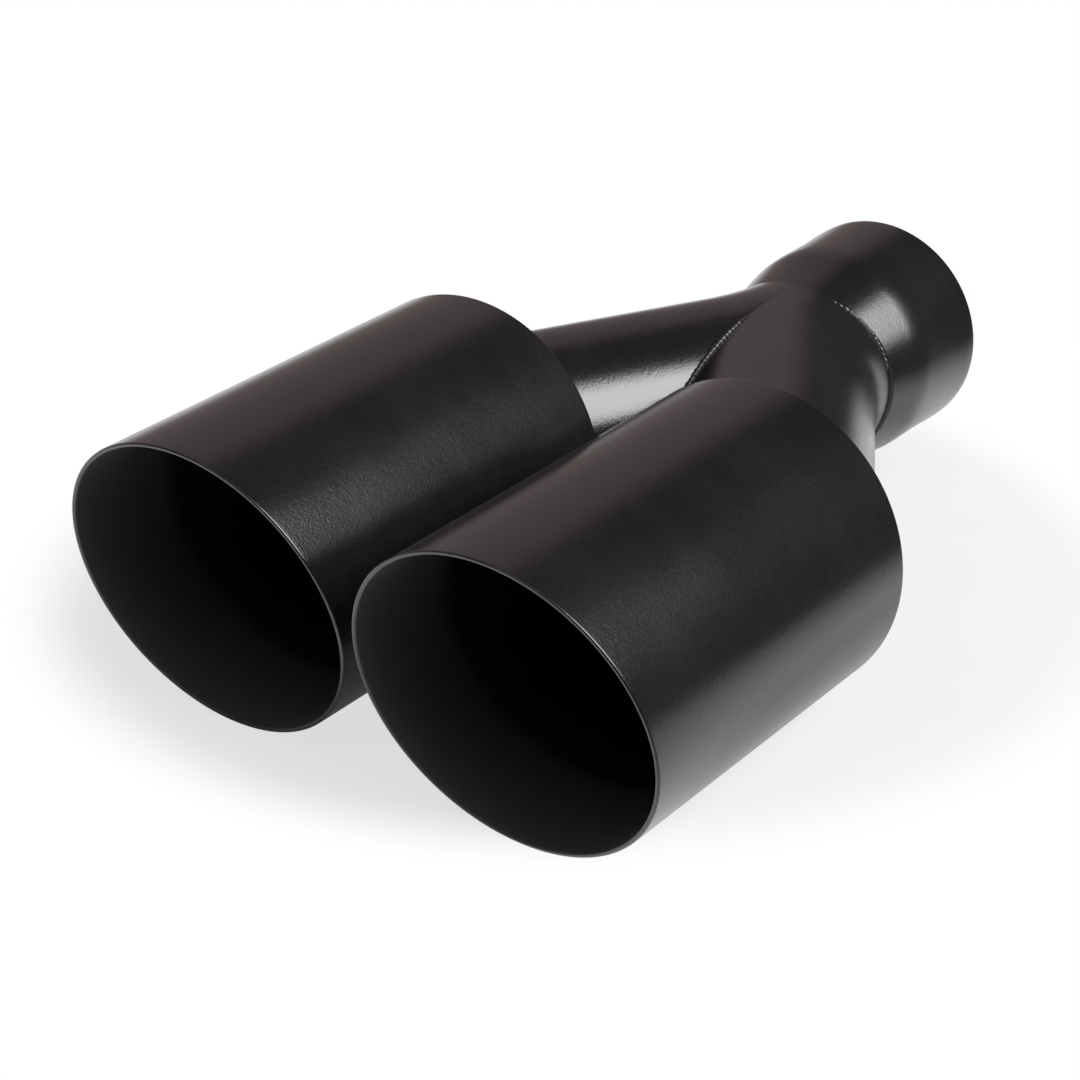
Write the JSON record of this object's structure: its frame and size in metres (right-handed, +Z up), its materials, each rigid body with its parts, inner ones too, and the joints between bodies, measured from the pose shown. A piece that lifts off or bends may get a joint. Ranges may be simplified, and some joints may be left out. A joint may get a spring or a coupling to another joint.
{
  "type": "exhaust tip",
  "caption": "Y-shaped exhaust tip: round slash-cut outlets on bent branch pipes that merge into a swaged slip-on inlet collar, coated satin black.",
  "frame": {"origin": "on the inlet bore's centre line, at the outer end of its straight part", "axes": "+X to the right as seen from the mouths, +Y along the inlet bore towards the car's exhaust pipe, +Z up; the tips' centre lines lie parallel to Y in the plane Z = 0"},
  "size_m": [0.1886, 0.2822, 0.0888],
  "materials": {
    "black_coat": "satin black powder coat on steel sheet and tube",
    "weld_coat": "the same satin black coat over rippled weld beads"
  },
  "bodies": {
    "root": {"left_tip": "black_coat", "right_tip": "black_coat", "left_back_plate": "black_coat", "right_back_plate": "black_coat", "left_branch": "black_coat", "right_branch": "black_coat", "inlet_collar": "black_coat", "crotch_weld": "weld_coat", "neck_weld": "weld_coat", "left_branch_weld": "weld_coat", "right_branch_weld": "weld_coat", "left_edge_weld": "weld_coat", "right_edge_weld": "weld_coat"}
  },
  "joints": []
}
